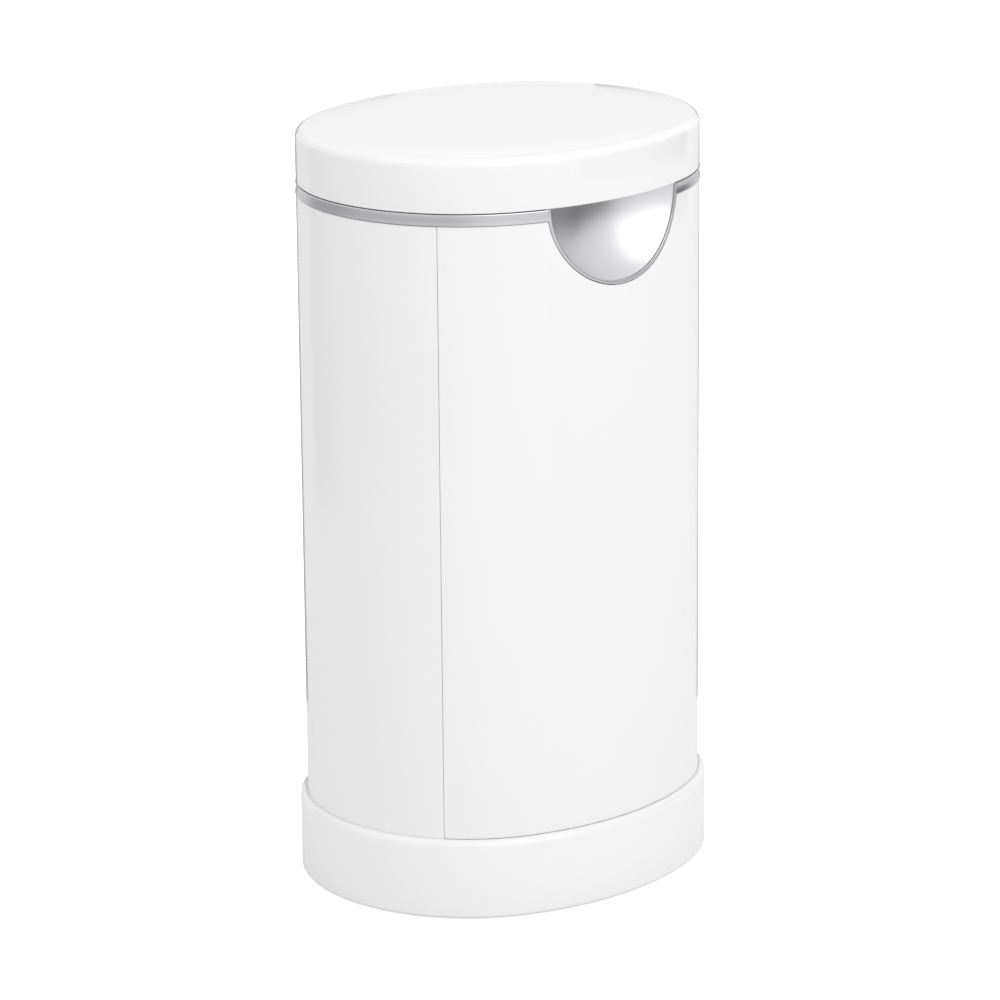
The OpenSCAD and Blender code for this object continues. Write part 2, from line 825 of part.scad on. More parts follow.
// Block under the frame's front with the slot that cuts the film
module film_cutter() {
    color(mint) difference() {
        translate([-cutter_w / 2, cutter_y, cutter_z]) cube([cutter_w, cutter_d, cutter_h]);
        translate([-cutter_w / 2 - 1, cutter_y + (cutter_d - cutter_slot) / 2, cutter_z - 1])
            cube([cutter_w + 2, cutter_slot, cutter_h - cutter_roof + 1]);
    }
}

// Steel blade across the cutter's slot
module cutter_blade() {
    blade_z = cutter_z + cutter_h - cutter_roof - blade_h;
    color(steel) translate([-cutter_w / 2 + 4, cutter_y + (cutter_d - blade_t) / 2, blade_z])
        cube([cutter_w - 8, blade_t, blade_h]);
}

// Ring-shaped refill cassette that drops into the well and turns in it
module refill_cassette() {
    color(mint) difference() {
        ring(throat_r, cassette_r, cassette_z, cassette_z + cassette_h - cap_t);
        ring(
            throat_r + cassette_wall, cassette_r - cassette_wall,
            cassette_z + cassette_floor, cassette_z + cassette_h
        );
    }
}

// Cap of the cassette, with the slot that the film comes out of
module cassette_cap() {
    color(mint) ring(throat_r + 3, cassette_r, cassette_z + cassette_h - cap_t, cassette_z + cassette_h);
}

// Pleated film packed in the cassette
module film_pack() {
    color(film_blue) ring(
        throat_r + cassette_wall + seat_gap, cassette_r - cassette_wall - seat_gap,
        cassette_z + cassette_floor + seat_gap, cassette_z + cassette_h - cap_t - seat_gap
    );
}

// One sprung flap with its two hinge barrels
module flap(side) {
    notch_x = flap_axis_x - 9;
    color(white) difference() {
        union() {
            translate([side > 0 ? flap_edge_x : -flap_axis_x, -barrel_outer_y + 2, flap_top - flap_t])
                cube([flap_axis_x - flap_edge_x, 2 * barrel_outer_y - 4, flap_t]);
            for (y = [-barrel_outer_y, barrel_inner_y]) {
                rod_y(flap_barrel_r, side * flap_axis_x, flap_axis_z, y, y + barrel_outer_y - barrel_inner_y);
            }
        }
        for (y = [-barrel_outer_y - 1, barrel_inner_y - 1]) {
            rod_y(
                flap_pin_r + run_gap, side * flap_axis_x, flap_axis_z,
                y, y + barrel_outer_y - barrel_inner_y + 2
            );
        }
        translate([side > 0 ? notch_x : -far, -barrel_inner_y, flap_top - flap_t - 1])
            cube([far - notch_x, 2 * barrel_inner_y, flap_t + 2]);
    }
}
module flap_left() { flap(-1); }
module flap_right() { flap(1); }

// Soft lip along a flap's meeting edge
module flap_lip(side) {
    color(grey) translate([
        side > 0 ? lip_edge_x : -flap_edge_x, -barrel_outer_y + 2, flap_top - flap_t
    ]) cube([flap_edge_x - lip_edge_x, 2 * barrel_outer_y - 4, flap_t]);
}
module flap_lip_left() { flap_lip(-1); }
module flap_lip_right() { flap_lip(1); }

// ---- Door ----

// Curved front door with a half-round notch for the scoop and a rounded hinge edge
module front_door() {
    color(white) difference() {
        union() {
            intersection() {
                oval_tube(0, door_wall, door_z, door_top);
                front_region(hinge_deg, seam_deg + half_gap_deg, door_z - 1, door_top + 1);
            }
            translate([hinge_x, hinge_y, door_z]) cylinder(r = bead_r, h = door_top - door_z);
        }
        translate([0, 0, scoop_z]) rotate([90, 0, 0]) cylinder(r = scoop_r + notch_gap, h = far);
        intersection() {
            oval_block(rebate_depth, door_z, door_top + 1);
            translate([0, 0, scoop_z]) rotate([90, 0, 0]) cylinder(r = scoop_r + rebate_gap, h = far);
        }
        translate([hinge_x, hinge_y, door_z - 1])
            cylinder(r = door_pin_r + run_gap, h = door_pin_depth + 1.5);
        translate([hinge_x, hinge_y, door_top - door_pin_depth - 0.5])
            cylinder(r = door_pin_r + run_gap, h = door_pin_depth + 1);
    }
}

// Steel plate on the door's inner face for the magnet
module strike_plate() {
    color(steel) end_sector(
        door_wall + 0.1, door_wall + strike_t, catch_start_deg + 2, catch_start_deg + catch_span_deg,
        catch_z - catch_h / 2 + 2, catch_z + catch_h / 2 - 2
    );
}

// ---- Lid ----

// Half profile of the lid's wall with its rounded top edge
module lid_profile(thin) {
    union() {
        translate([-crown_inset - crown_w, 0]) square([crown_inset + crown_w - lid_round, lid_h - thin]);
        translate([-lid_round, 0]) square([lid_round - thin, lid_h - lid_round]);
        translate([-lid_round, lid_h - lid_round]) circle(r = lid_round - thin);
    }
}

// Half profile of the soft shoulder up to the lid's crown
module crown_profile() {
    intersection() {
        translate([-crown_inset - crown_w, lid_h + crown_h - crown_arc]) circle(r = crown_arc);
        translate([-crown_inset - crown_w, lid_h - 1]) square([crown_w, crown_h + 1]);
    }
}

// Deep cap-like lid with a rounded edge, a crowned top and its hinge barrel
module lid_shell() {
    color(white) difference() {
        union() {
            difference() {
                union() {
                    oval_sweep() translate([0, lid_z]) difference() {
                        union() {
                            lid_profile(0);
                            crown_profile();
                        }
                        translate([0, -1]) square([far, 1]);
                        difference() {
                            lid_profile(lid_wall);
                            translate([-far, lid_h - lid_wall]) square([far, far]);
                        }
                    }
                    oval_block(crown_inset + crown_w - 1, lid_roof_z, rim_top + crown_h);
                    for (at = lid_boss_places) {
                        translate([at[0], at[1], liner_top])
                            cylinder(r = boss_r, h = lid_roof_z - liner_top + 1);
                    }
                }
                rod_x(barrel_r + pass_gap, lid_hinge_y, lid_hinge_z, -hinge_w / 2 - 0.5, hinge_w / 2 + 0.5);
            }
            rod_x(barrel_r, lid_hinge_y, lid_hinge_z, -lid_barrel_w / 2, lid_barrel_w / 2);
            translate([-lid_barrel_w / 2, body_half_d - lid_wall, lid_hinge_z])
                cube([lid_barrel_w, lid_hinge_y - body_half_d + lid_wall, 9]);
        }
        rod_x(lid_pin_r + run_gap, lid_hinge_y, lid_hinge_z, -far, far);
        for (at = lid_boss_places) {
            translate([at[0], at[1], liner_top - 1]) cylinder(r = screw_r, h = lid_screw_l + 4);
        }
    }
}

// Steel rod through the lid's barrel and the collar's two ears
module lid_hinge_pin() {
    color(steel) rod_x(lid_pin_r, lid_hinge_y, lid_hinge_z, -hinge_w / 2, hinge_w / 2);
}

// Flat liner in the lid, with the ribs that hold the seal and the cup for the scent puck
module lid_liner() {
    color(white) difference() {
        union() {
            oval_block(liner_inset, liner_z, liner_top);
            ring(seal_r - rib_t - 0.2, seal_r - 0.2, liner_z - 3, liner_z + 1);
            ring(seal_r + seal_t + 0.2, seal_r + seal_t + 0.2 + rib_t, liner_z - 3, liner_z + 1);
            translate([0, 0, liner_z])
                cylinder(r = puck_cup_r + puck_cup_wall, h = puck_roof_z + 2 - liner_z);
        }
        translate([0, 0, liner_z - 1]) cylinder(r = puck_cup_r, h = puck_roof_z - liner_z + 1);
        ring(puck_cup_r - 1, puck_cup_r + lug_r + 0.3, liner_z + 0.7, liner_z + 0.7 + lug_t + 0.6);
        for (deg = [60, 180, 300]) {
            rotate([0, 0, deg]) translate([0, 0, liner_z - 1]) rotate_extrude(angle = lug_deg + 4)
                translate([puck_cup_r - 1, 0]) square([1 + lug_r + 0.5, 2]);
        }
        for (at = lid_boss_places) {
            translate([at[0], at[1], liner_z - 1]) cylinder(r = screw_hole_r, h = liner_t + 2);
        }
    }
}

// Rubber ring that seals the lid to the collar's deck
module lid_seal() {
    color(soft_black) ring(seal_r, seal_r + seal_t, collar_deck + seat_gap, liner_z);
}

// Rubber pads that the lid comes to rest on
module lid_bumpers() {
    color(soft_black) for (side = [-1, 1]) for (deg = [-20, 20]) {
        at = end_point(side, deg, bumper_inset);
        translate([at[0], at[1], collar_deck + seat_gap])
            cylinder(r = bumper_r, h = liner_z - collar_deck - seat_gap);
    }
}

// Screws that hold the liner to the lid
module lid_screws() {
    color(steel) for (at = lid_boss_places) {
        translate([at[0], at[1], 0]) screw(liner_z - head_h, liner_top + lid_screw_l);
    }
}

// Scented block in its cup
module scent_puck() {
    color(mint) translate([0, 0, puck_z]) cylinder(r = puck_r, h = puck_h);
}

// Vented cover that keeps the puck in its cup and comes out with part of a turn
module puck_cover() {
    color(grey) difference() {
        union() {
            translate([0, 0, liner_z]) cylinder(r = puck_cover_r, h = puck_cover_t);
            for (deg = [0, 120, 240]) {
                rotate([0, 0, deg]) translate([0, 0, liner_z + 1]) rotate_extrude(angle = lug_deg)
                    translate([puck_cover_r - 1, 0]) square([1 + lug_r, lug_t]);
            }
        }
        for (deg = [0 : 45 : 315]) {
            rotate([0, 0, deg]) translate([vent_in_r, -vent_w / 2, liner_z - 1])
                cube([vent_l, vent_w, puck_cover_t + 2]);
        }
    }
}

base_plinth();
base_cover();
base_screws();
rubber_feet();
rear_shell();
shell_screws();
door_frame();
door_seal();
magnet_housing();
catch_magnet();
door_pin_lower();
door_pin_upper();
grip_cup();
top_collar();
collar_screws();
trim_ring();
finger_scoop();
flap_frame();
frame_screws();
flap_pin_left();
flap_pin_right();
flap_spring_left();
flap_spring_right();
film_cutter();
cutter_blade();
lid_hinge_pin();
front_door();
strike_plate();
lid_shell();
lid_liner();
lid_seal();
lid_bumpers();
lid_screws();
scent_puck();
puck_cover();
refill_cassette();
cassette_cap();
film_pack();
flap_left();
flap_lip_left();
flap_right();
flap_lip_right();
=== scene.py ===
import json
import math

import bmesh
import bpy
from mathutils import Matrix, Quaternion, Vector


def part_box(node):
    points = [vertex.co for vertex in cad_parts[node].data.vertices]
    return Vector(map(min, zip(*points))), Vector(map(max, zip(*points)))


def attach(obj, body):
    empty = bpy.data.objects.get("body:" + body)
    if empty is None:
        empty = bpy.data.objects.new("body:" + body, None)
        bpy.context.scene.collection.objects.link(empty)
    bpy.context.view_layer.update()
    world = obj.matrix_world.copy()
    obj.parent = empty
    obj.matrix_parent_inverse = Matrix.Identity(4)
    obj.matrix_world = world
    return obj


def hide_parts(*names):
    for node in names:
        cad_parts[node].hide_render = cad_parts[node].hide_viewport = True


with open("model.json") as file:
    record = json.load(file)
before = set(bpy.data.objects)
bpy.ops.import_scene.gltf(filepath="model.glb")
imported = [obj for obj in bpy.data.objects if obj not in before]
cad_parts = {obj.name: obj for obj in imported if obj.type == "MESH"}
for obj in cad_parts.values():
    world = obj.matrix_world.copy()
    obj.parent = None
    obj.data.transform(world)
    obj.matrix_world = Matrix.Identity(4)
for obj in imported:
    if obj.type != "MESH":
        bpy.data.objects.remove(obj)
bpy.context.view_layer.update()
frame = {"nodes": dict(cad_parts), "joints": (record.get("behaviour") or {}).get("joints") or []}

mm = 0.001


# ---- Base plinth ----
# The foot of the bin: one glossy white moulding with a flared wall, a rounded shoulder and the
# floor that the bag stands on. Like every shell here it is a profile swept round the body's oval,
# whose two end arcs meet two side arcs.
shell_low, shell_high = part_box("rear_shell")
plinth_low, plinth_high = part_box("base_plinth")
half_width = shell_high[0]
half_depth = shell_high[1]
quarter = math.pi / 2
side_half = math.radians(22.62)  # half the angle of a side arc
side_back = (half_width - half_depth) / (
    1 + math.tan(side_half) - 1 / math.cos(side_half)
)
end_x = side_back * math.tan(side_half)
end_r = half_width - end_x
side_r = half_depth + side_back
column_width = 2.6 * mm
weld = 0.002 * mm
plinth_flare = plinth_high[0] - half_width
plinth_wall = 3 * mm
plinth_sink = 0.6 * mm
plinth_floor = plinth_high[2] - plinth_sink
plinth_lip = 12 * mm
plinth_top_edge = 0.3 * mm
plinth_foot_edge = 0.8 * mm
plinth_inner_edge = 0.4 * mm

# Where each arc of the oval ends, as the way that its outside faces, with its centre and radius
oval_arcs = []
for lap in (0, 4 * quarter):
    oval_arcs += [
        (lap + quarter - side_half, Vector((end_x, 0, 0)), end_r),
        (lap + quarter + side_half, Vector((0, -side_back, 0)), side_r),
        (lap + 3 * quarter - side_half, Vector((-end_x, 0, 0)), end_r),
        (lap + 3 * quarter + side_half, Vector((0, side_back, 0)), side_r),
    ]


def draw_profile(bm, corners, closed=True):
    """Draws a profile from corners of (inset, height, rounding)."""
    verts = [bm.verts.new((inset, 0, height)) for inset, height, rounding in corners]
    ends = verts[1:] + verts[:1] if closed else verts[1:]
    for pair in zip(verts, ends):
        bm.edges.new(pair)
    for vert, (inset, height, rounding) in zip(verts, corners):
        if rounding:
            bmesh.ops.bevel(
                bm, geom=[vert], offset=rounding, offset_type="OFFSET", segments=6,
                profile=0.5, affect="VERTICES", material=-1,
            )


def sweep(bm, start=0, stop=4 * quarter):
    """Spins the profile in bm round the oval, and returns the edges at its two ends."""
    centre, radius = next(arc[1:] for arc in oval_arcs if arc[0] > start)
    facing = Vector((math.cos(start), math.sin(start), 0))
    for vert in bm.verts:
        vert.co = centre + facing * (radius - vert.co.x) + Vector((0, 0, vert.co.z))
    first = bm.edges[:]
    moving = bm.verts[:] + first
    for until, centre, radius in oval_arcs:
        turn = min(until, stop) - start
        if turn > 0:
            moving = bmesh.ops.spin(
                bm, geom=moving, cent=centre, axis=(0, 0, 1), angle=turn,
                steps=math.ceil(turn * radius / column_width),
            )["geom_last"]
            start += turn
    return first, [part for part in moving if isinstance(part, bmesh.types.BMEdge)]


def fill_loops(bm, height):
    """Closes the open loops that lie at this height with one flat face each."""
    rim = [
        e for e in bm.edges
        if e.is_boundary and all(abs(v.co.z - height) < 1e-6 for v in e.verts)
    ]
    bmesh.ops.contextual_create(bm, geom=rim)


def close_shell(bm):
    """Merges the seams of a swept shell and turns its faces outwards."""
    bmesh.ops.remove_doubles(bm, verts=bm.verts, dist=weld)
    bmesh.ops.recalc_face_normals(bm, faces=bm.faces)


def smooth(piece, crease=32):
    """Shades a piece smooth between its real creases."""
    mesh = piece.data
    mesh.polygons.foreach_set("use_smooth", [True] * len(mesh.polygons))
    mesh.set_sharp_from_angle(angle=math.radians(crease))


def add_piece(name, bm, material, body, slot, *nodes):
    """Makes the object, gives it its finish and rides it on its body for the plain nodes."""
    mesh = bpy.data.meshes.new(name)
    bm.to_mesh(mesh)
    bm.free()
    mesh.materials.append(material)
    piece = bpy.data.objects.new(name, mesh)
    bpy.context.scene.collection.objects.link(piece)
    smooth(piece)
    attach(piece, body)
    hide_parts(*nodes)
    return piece


def moulded_skin():
    """Node group: the faint cloud, uneven gloss and fine skin that a mould leaves on a part."""
    group = bpy.data.node_groups.new("moulded_skin", "ShaderNodeTree")
    group.interface.new_socket(name="Colour", in_out="INPUT", socket_type="NodeSocketColor")
    for name in ("Cloud", "Cloud Size", "Gloss", "Gloss Spread", "Grain Size", "Grain Height"):
        group.interface.new_socket(name=name, in_out="INPUT", socket_type="NodeSocketFloat")
    for name, kind in (("Colour", "Color"), ("Roughness", "Float"), ("Normal", "Vector")):
        group.interface.new_socket(name=name, in_out="OUTPUT", socket_type="NodeSocket" + kind)
    nodes, links = group.nodes, group.links
    given = nodes.new("NodeGroupInput")
    result = nodes.new("NodeGroupOutput")
    place = nodes.new("ShaderNodeTexCoord")

    cloud = nodes.new("ShaderNodeTexNoise")
    cloud.inputs["Detail"].default_value = 4
    links.new(place.outputs["Object"], cloud.inputs["Vector"])
    links.new(given.outputs["Cloud Size"], cloud.inputs["Scale"])
    shade = nodes.new("ShaderNodeMath")
    shade.operation = "MULTIPLY"
    links.new(cloud.outputs["Fac"], shade.inputs[0])
    links.new(given.outputs["Cloud"], shade.inputs[1])
    tone = nodes.new("ShaderNodeMix")
    tone.data_type = "RGBA"
    tone.inputs["B"].default_value = (0, 0, 0, 1)
    links.new(shade.outputs[0], tone.inputs["Factor"])
    links.new(given.outputs["Colour"], tone.inputs["A"])
    links.new(tone.outputs["Result"], result.inputs["Colour"])

    smear = nodes.new("ShaderNodeTexNoise")
    smear.inputs["Scale"].default_value = 22
    smear.inputs["Detail"].default_value = 5
    links.new(place.outputs["Object"], smear.inputs["Vector"])
    gloss = nodes.new("ShaderNodeMath")
    gloss.operation = "MULTIPLY_ADD"
    links.new(smear.outputs["Fac"], gloss.inputs[0])
    links.new(given.outputs["Gloss Spread"], gloss.inputs[1])
    links.new(given.outputs["Gloss"], gloss.inputs[2])
    links.new(gloss.outputs[0], result.inputs["Roughness"])

    grain = nodes.new("ShaderNodeTexNoise")
    grain.inputs["Detail"].default_value = 3
    links.new(place.outputs["Object"], grain.inputs["Vector"])
    links.new(given.outputs["Grain Size"], grain.inputs["Scale"])
    bump = nodes.new("ShaderNodeBump")
    links.new(grain.outputs["Fac"], bump.inputs["Height"])
    links.new(given.outputs["Grain Height"], bump.inputs["Distance"])
    links.new(bump.outputs["Normal"], result.inputs["Normal"])
    return group


skin_group = moulded_skin()


def skin_material(
    name, colour, gloss, grain_size, grain_height, cloud=0.02, cloud_size=9, spread=0.08,
):
    """A moulded or painted finish: its tone, gloss and grain all vary a little over the part."""
    material = bpy.data.materials.new(name)
    material.use_nodes = True
    nodes, links = material.node_tree.nodes, material.node_tree.links
    shader = nodes["Principled BSDF"]
    skin = nodes.new("ShaderNodeGroup")
    skin.node_tree = skin_group
    for socket, value in (
        ("Colour", (*colour, 1)), ("Cloud", cloud), ("Cloud Size", cloud_size),
        ("Gloss", gloss), ("Gloss Spread", spread),
        ("Grain Size", grain_size), ("Grain Height", grain_height),
    ):
        skin.inputs[socket].default_value = value
    for socket, target in (
        ("Colour", "Base Color"), ("Roughness", "Roughness"), ("Normal", "Normal"),
    ):
        links.new(skin.outputs[socket], shader.inputs[target])
    return material


def dress(material, *names):
    """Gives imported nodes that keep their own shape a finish."""
    for name in names:
        for holder in frame["nodes"][name].material_slots:
            holder.material = material


white_gloss = skin_material(
    "white_gloss", (0.885, 0.885, 0.885),
    gloss=0.11, grain_size=90, grain_height=0.012 * mm,
)
white_gloss.node_tree.nodes["Principled BSDF"].inputs["IOR"].default_value = 1.5

plinth = bmesh.new()
draw_profile(plinth, [
    (plinth_lip, plinth_floor, 0),
    (plinth_lip, plinth_high[2], plinth_top_edge),
    (-plinth_flare, plinth_high[2], plinth_flare),
    (-plinth_flare, plinth_low[2], plinth_foot_edge),
    (plinth_wall - plinth_flare, plinth_low[2], plinth_inner_edge),
    (plinth_wall - plinth_flare, plinth_high[2] - plinth_wall, plinth_wall),
    (plinth_lip, plinth_high[2] - plinth_wall, 0),
], closed=False)
sweep(plinth)
close_shell(plinth)
fill_loops(plinth, plinth_floor)
fill_loops(plinth, plinth_high[2] - plinth_wall)
close_shell(plinth)
add_piece("plinth_moulding", plinth, white_gloss, "body", "white_shell", "base_plinth")


# ---- Base cover, screws and feet ----
# A grey plate closes the plinth from below. Six sunk screws hold it, and four soft rubber feet
# push into it.
grey_satin = skin_material(
    "grey_satin", (0.30, 0.31, 0.33),
    gloss=0.42, grain_size=900, grain_height=0.03 * mm, cloud=0.08,
)
soft_rubber = skin_material(
    "soft_rubber", (0.045, 0.045, 0.05),
    gloss=0.62, grain_size=1400, grain_height=0.05 * mm, cloud=0.2,
)


def steel_material(name, colour, gloss, streak):
    """Bare or plated steel with fine turning marks along the part."""
    material = skin_material(
        name, colour, gloss, grain_size=700, grain_height=0.006 * mm, cloud=0.12, cloud_size=160,
    )
    nodes, links = material.node_tree.nodes, material.node_tree.links
    shader = nodes["Principled BSDF"]
    shader.inputs["Metallic"].default_value = 1
    shader.inputs["Anisotropic"].default_value = 0.4
    place = nodes.new("ShaderNodeTexCoord")
    stretch = nodes.new("ShaderNodeMapping")
    stretch.inputs["Scale"].default_value = streak
    lines = nodes.new("ShaderNodeTexNoise")
    lines.inputs["Scale"].default_value = 40
    links.new(place.outputs["Object"], stretch.inputs["Vector"])
    links.new(stretch.outputs["Vector"], lines.inputs["Vector"])
    marks = nodes.new("ShaderNodeBump")
    marks.inputs["Distance"].default_value = 0.01 * mm
    links.new(lines.outputs["Fac"], marks.inputs["Height"])
    links.new(marks.outputs["Normal"], shader.inputs["Normal"])
    return material


zinc_steel = steel_material("zinc_steel", (0.56, 0.56, 0.55), gloss=0.28, streak=(30, 30, 30))
drawn_steel = steel_material("drawn_steel", (0.62, 0.62, 0.63), gloss=0.2, streak=(60, 60, 2))
dress(grey_satin, "base_cover")
dress(soft_rubber, "rubber_feet")
dress(zinc_steel, "base_screws", "shell_screws", "collar_screws", "frame_screws", "lid_screws")


# ---- Rear shell ----
# The wrap-round shell: a glossy white moulding, open at the front between two seams. Round
# bosses inside its foot and head take the screws. The door's hinge edge swings in a socket.
shell_wall = 2.6 * mm
shell_foot_edge = 0.5 * mm
shell_head_edge = 0.6 * mm
shell_inner_edge = 0.3 * mm
door_joint = next(joint for joint in frame["joints"] if joint["name"] == "door_hinge")
hinge_x, hinge_y = door_joint["pos_m"][:2]
hinge_facing = math.atan2(-hinge_y, -hinge_x - end_x)
hinge_depth = 2.2 * mm
seam_x = 142 * mm
seam_facing = math.acos((seam_x - end_x) / end_r)
seam_half = 0.5 * mm
lip_reach = 2.75 * mm
socket_r = 3.2 * mm
socket_top = 700 * mm
shell_left = hinge_facing - lip_reach / (end_r - hinge_depth)
shell_right = seam_facing - seam_half / end_r
boss_r = 5 * mm
boss_h = 22 * mm
boss_inset = 6.9 * mm
boss_sink = 0.2 * mm
post_edge = 0.4 * mm
boss_leans = (12, 60)  # degrees from the bin's side towards its back
grip_ball_r = 24.1 * mm
grip_z = 330 * mm
upright_least = 50 * mm


def cap_ends(bm, *ends):
    """Closes the open ends of a part sweep and returns the faces."""
    faces = []
    for end in ends:
        faces += bmesh.ops.contextual_create(bm, geom=end)["faces"]
    return faces


def round_upright_edges(bm, face, size, segments=4):
    """Rounds the long upright edges of an end face."""
    edges = [e for e in face.edges if abs(e.verts[0].co.z - e.verts[1].co.z) > upright_least]
    bmesh.ops.bevel(
        bm, geom=edges, offset=size, offset_type="OFFSET", segments=segments,
        profile=0.5, affect="EDGES", material=-1,
    )


def on_oval(facing, inset):
    """The point of the oval, at this inset, where its outside faces this way."""
    centre, radius = next(arc[1:] for arc in oval_arcs if arc[0] > facing)
    return centre + Vector((math.cos(facing), math.sin(facing), 0)) * (radius - inset)


def add_post(bm, place, radius, low, high):
    """Adds an upright round post with softened ends."""
    post = bmesh.ops.create_cone(
        bm, cap_ends=True, segments=40, radius1=radius, radius2=radius, depth=high - low,
        matrix=Matrix.Translation((place.x, place.y, (low + high) / 2)),
    )["verts"]
    rims = [e for e in bm.edges if e.verts[0] in post and len(e.link_faces) == 2
            and any(len(f.verts) > 4 for f in e.link_faces)]
    bmesh.ops.bevel(
        bm, geom=rims, offset=post_edge, offset_type="OFFSET", segments=3,
        profile=0.5, affect="EDGES", material=-1,
    )


def cut(piece, tool_bm, operation="DIFFERENCE"):
    """Cuts a piece with a closed tool shape, then lets the tool go."""
    tool_mesh = bpy.data.meshes.new("cutting_tool")
    tool_bm.to_mesh(tool_mesh)
    tool_bm.free()
    tool = bpy.data.objects.new("cutting_tool", tool_mesh)
    bpy.context.scene.collection.objects.link(tool)
    modifier = piece.modifiers.new("cut", "BOOLEAN")
    modifier.operation = operation
    modifier.solver = "EXACT"
    modifier.object = tool
    bpy.context.view_layer.update()
    graph = bpy.context.evaluated_depsgraph_get()
    result = bpy.data.meshes.new_from_object(piece.evaluated_get(graph))
    piece.modifiers.clear()
    piece.data = result
    bpy.data.objects.remove(tool)
    smooth(piece)


shell = bmesh.new()
draw_profile(shell, [
    (0, shell_low[2], shell_foot_edge),
    (shell_wall, shell_low[2], shell_inner_edge),
    (shell_wall, shell_high[2], shell_inner_edge),
    (0, shell_high[2], shell_head_edge),
])
shell_ends = sweep(shell, -shell_right, 2 * quarter + shell_left)
for end_face in cap_ends(shell, *shell_ends):
    round_upright_edges(shell, end_face, shell_inner_edge)
close_shell(shell)
rear_shell = add_piece("rear_shell_skin", shell, white_gloss, "body", "white_shell", "rear_shell")

grip_place = on_oval(4 * quarter - seam_facing, 0) + Vector((0, 0, grip_z))
grip_tool = bmesh.new()
bmesh.ops.create_uvsphere(
    grip_tool, u_segments=64, v_segments=32, radius=grip_ball_r,
    matrix=Matrix.Translation(grip_place),
)
cut(rear_shell, grip_tool)
socket_tool = bmesh.new()
add_post(socket_tool, Vector((hinge_x, hinge_y, 0)), socket_r, 0, socket_top)
cut(rear_shell, socket_tool)

# The bosses overlap the wall as closed shapes of their own, and a cut can lose such a shape, so
# they are added once the cuts are made.
shell = bmesh.new()
shell.from_mesh(rear_shell.data)
for side in (-1, 1):
    for lean in boss_leans:
        facing = math.radians(lean) if side > 0 else 2 * quarter - math.radians(lean)
        spot = on_oval(facing, boss_inset)
        add_post(shell, spot, boss_r, shell_low[2], shell_low[2] + boss_h)
        add_post(shell, spot, boss_r, shell_high[2] - boss_h, shell_high[2] - boss_sink)
shell.to_mesh(rear_shell.data)
shell.free()
smooth(rear_shell)


# ---- Door frame, seal, catch and grip ----
# Behind the door a fixed satin white frame carries a foam strip, the magnet of the catch in its
# bracket and the cup for the fingers. Two bright steel pins are the door's hinge.
white_satin = skin_material(
    "white_satin", (0.80, 0.80, 0.79),
    gloss=0.34, grain_size=700, grain_height=0.02 * mm, cloud=0.03,
)
seal_foam = skin_material(
    "seal_foam", (0.10, 0.10, 0.105),
    gloss=0.9, grain_size=2600, grain_height=0.25 * mm, cloud=0.3, cloud_size=900,
)
nickel_steel = steel_material("nickel_steel", (0.52, 0.52, 0.51), gloss=0.18, streak=(8, 8, 60))
dress(white_satin, "door_frame", "magnet_housing", "grip_cup")
dress(seal_foam, "door_seal")
dress(nickel_steel, "catch_magnet", "strike_plate", "cutter_blade")
dress(drawn_steel, "door_pin_lower", "door_pin_upper", "lid_hinge_pin")
dress(drawn_steel, "flap_pin_left", "flap_pin_right")


# ---- Collar ----
# The structural ring at the body's head: a satin white moulding with the well that the cassette
# drops into and the two ears of the lid's hinge.
dress(white_satin, "top_collar")


# ---- Trim ring and scoop rim ----
# A silver-painted band under the lid with a shallow cove and a fine leaning lip along its top, in
# one piece with the half-round rim of the finger scoop. It stops at the lid's hinge.
ring_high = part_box("trim_ring")[1]
scoop_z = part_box("top_collar")[1][2]
scoop_r = 70 * mm
rim_width = 2.8 * mm
rim_proud = 0.6 * mm
rim_back = 3 * mm
ring_gap = 0.6 * mm
ring_bottom = shell_high[2] + ring_gap
ring_top = ring_high[2] + ring_gap
ring_foot = -0.6 * mm
ring_back = 0.6 * mm
cove_deep = 0.5 * mm
cove_turn = 0.62  # how far up the cove is deepest
cove_steps = 12
cove_edge = 0.6 * mm
lip_height = 0.9 * mm
lip_step = 0.1 * mm
lip_face = -0.5 * mm
lip_lean = 0.35 * mm
hinge_gap = 61.5 * mm
band_edge = 0.2 * mm
rim_inner_edge = 0.9 * mm
rim_outer_edge = 0.6 * mm


def silver_material(name, colour, gloss, flake):
    """Silver paint: a metal-like coat with fine flake under a thin clear layer."""
    material = skin_material(
        name, colour, gloss, grain_size=2600, grain_height=flake,
        cloud=0.06, cloud_size=1800, spread=0.06,
    )
    shader = material.node_tree.nodes["Principled BSDF"]
    shader.inputs["Metallic"].default_value = 1
    shader.inputs["Coat Weight"].default_value = 0.25
    shader.inputs["Coat Roughness"].default_value = 0.2
    return material


def move_into(whole, part):
    """Adds one shape to another and lets the first go."""
    carrier = bpy.data.meshes.new("carrier")
    part.to_mesh(carrier)
    part.free()
    whole.from_mesh(carrier)
    bpy.data.meshes.remove(carrier)


def front_depth(x):
    """How far the body's front lies forward of its middle at this x."""
    return math.sqrt(side_r * side_r - x * x) - side_back


